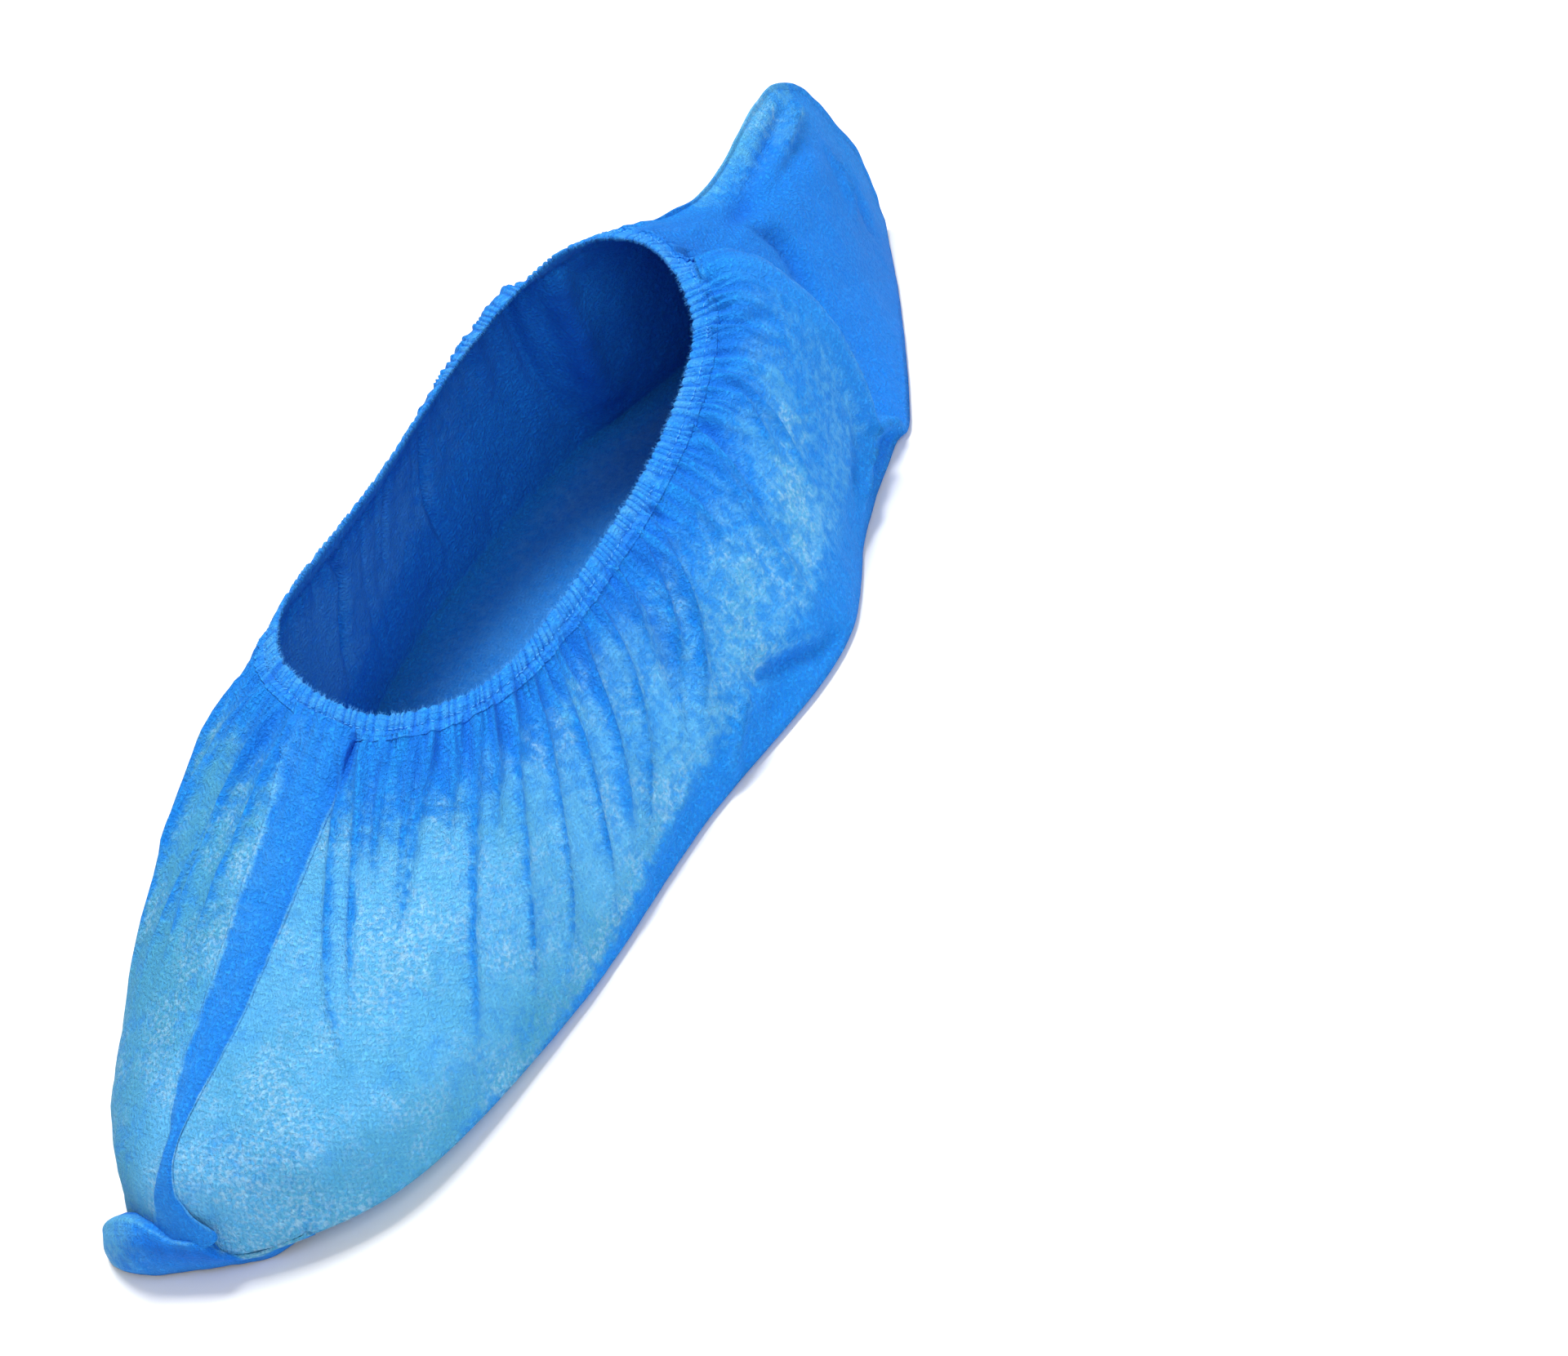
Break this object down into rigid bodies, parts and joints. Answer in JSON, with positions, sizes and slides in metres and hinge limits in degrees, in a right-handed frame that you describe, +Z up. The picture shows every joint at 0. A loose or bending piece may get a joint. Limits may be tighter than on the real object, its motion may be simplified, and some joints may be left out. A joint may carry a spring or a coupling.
{
  "type": "shoe cover",
  "caption": "Disposable non-woven shoe cover in its worn shape, open at the ankle, with a gathered elastic hem, a front seam and a loose tail behind the heel.",
  "frame": {"origin": "on the inside of the sole, where the middle of the shoe stands", "axes": "+Z up out of the mouth, toe towards -Y, loose tail towards +Y"},
  "size_m": [0.1353, 0.4031, 0.0799],
  "materials": {
    "cloth": "matte spunbond web",
    "hem": "matte gathered web",
    "doubled_cloth": "matte doubled web"
  },
  "bodies": {
    "root": {"cover_body": "cloth", "elastic_hem": "hem", "toe_seam": "doubled_cloth", "toe_corner": "doubled_cloth", "heel_seam": "doubled_cloth"}
  },
  "joints": []
}
